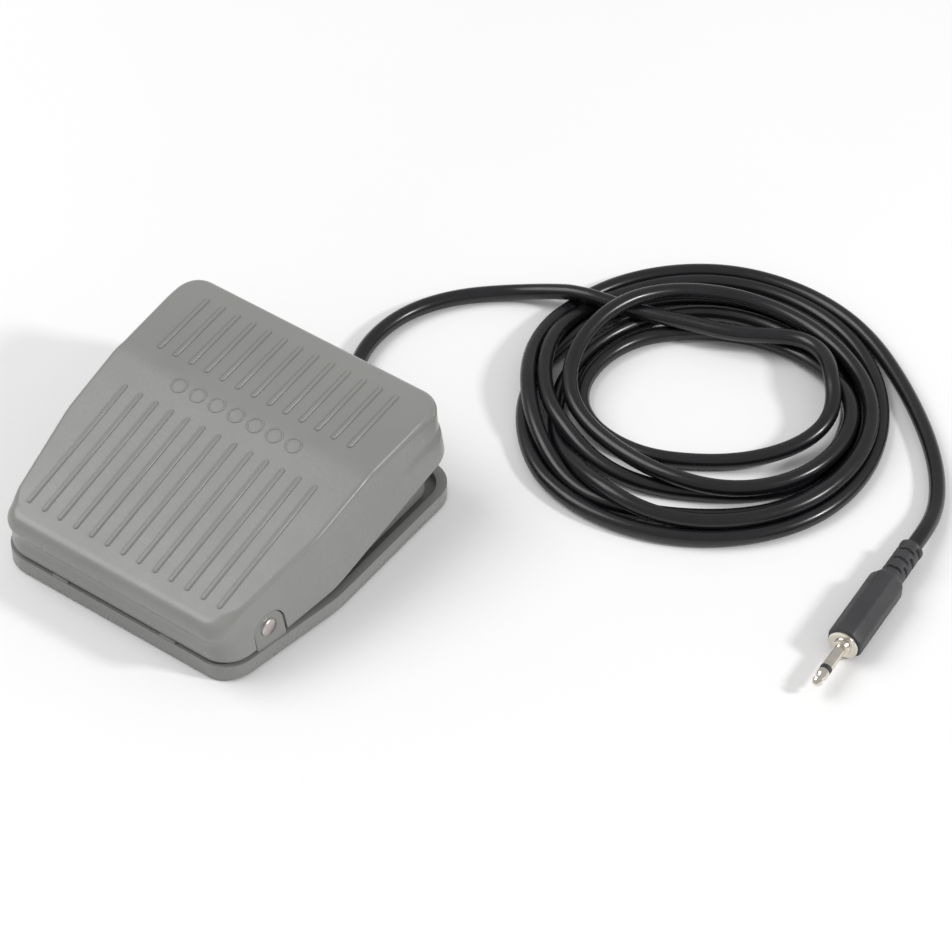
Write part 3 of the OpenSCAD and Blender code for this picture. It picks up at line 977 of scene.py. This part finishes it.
boot_profile = [(-BOOT_L, 2.6), (-BOOT_L + 0.1, 3.2), (-BOOT_L + 0.5, 3.6), (-BOOT_L + 1.1, 3.65)]
boot_profile += [
    (mix(RELIEF_FROM, RELIEF_TO, k / RELIEF_STEPS), mix(3.5, 3.6, k / RELIEF_STEPS))
    for k in range(RELIEF_STEPS + 1)
]
boot_profile += [(0.3, 3.6)]
boot = add_mesh("boot_relief", *turned(boot_profile, boot_radius), 50)

for piece, node in ((barrel, "plug_barrel"), (boot, "plug_boot")):
    paint(piece, "plug_plastic")
    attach(piece, "base")
    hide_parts(node)

cord.data.materials.append(MATERIALS["cord_pvc"])
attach(cord, "base")
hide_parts("lead_cord", "cord_coil", "tail_cord")

# ---- floor and light -----------------------------------------------------


FLOOR_HALF = 6.0
FLOOR_GAP = 0.00005
LIGHTS_AIM = Vector((0.04, 0.05, 0.01))


def make_floor():
    """A plain pale floor just under the feet."""
    mesh = bpy.data.meshes.new("floor")
    corners = [(x * FLOOR_HALF, y * FLOOR_HALF, 0) for x, y in ((-1, -1), (1, -1), (1, 1), (-1, 1))]
    mesh.from_pydata(corners, [], [(0, 1, 2, 3)])
    floor = bpy.data.objects.new("floor", mesh)
    bpy.context.scene.collection.objects.link(floor)
    floor.location.z = -FLOOR_GAP
    material, shader = new_material("floor")
    shade = ramp(material, noise(material, 3), (0.9, 0.9, 0.9), (0.93, 0.93, 0.93))
    material.node_tree.links.new(shade, shader.inputs["Base Color"])
    shader.inputs["Roughness"].default_value = 0.9
    shader.inputs["Specular IOR Level"].default_value = 0.1
    mesh.materials.append(material)


def area_light(name, place, width, height, power):
    """A rectangular lamp at a place in metres, turned to the pedal."""
    data = bpy.data.lights.new(name, "AREA")
    data.shape = "RECTANGLE"
    data.size = width
    data.size_y = height
    data.energy = power
    light = bpy.data.objects.new(name, data)
    light.location = place
    aim = LIGHTS_AIM - Vector(place)
    light.rotation_euler = aim.to_track_quat("-Z", "Y").to_euler()
    bpy.context.scene.collection.objects.link(light)


def make_light():
    """Even white surroundings, a broad key from the left and a small lamp for the edge's glint."""
    world = bpy.data.worlds.new("world")
    bpy.context.scene.world = world
    world.use_nodes = True
    sky = world.node_tree.nodes["Background"]
    sky.inputs["Color"].default_value = (1, 1, 1, 1)
    sky.inputs["Strength"].default_value = 0.5
    area_light("key", (-0.8, -0.35, 1.25), 1.0, 1.0, 12)
    area_light("edge", (1.15, 0.42, 0.8), 0.18, 0.18, 8.5)
    bpy.context.scene.view_settings.view_transform = "Standard"


make_floor()
make_light()
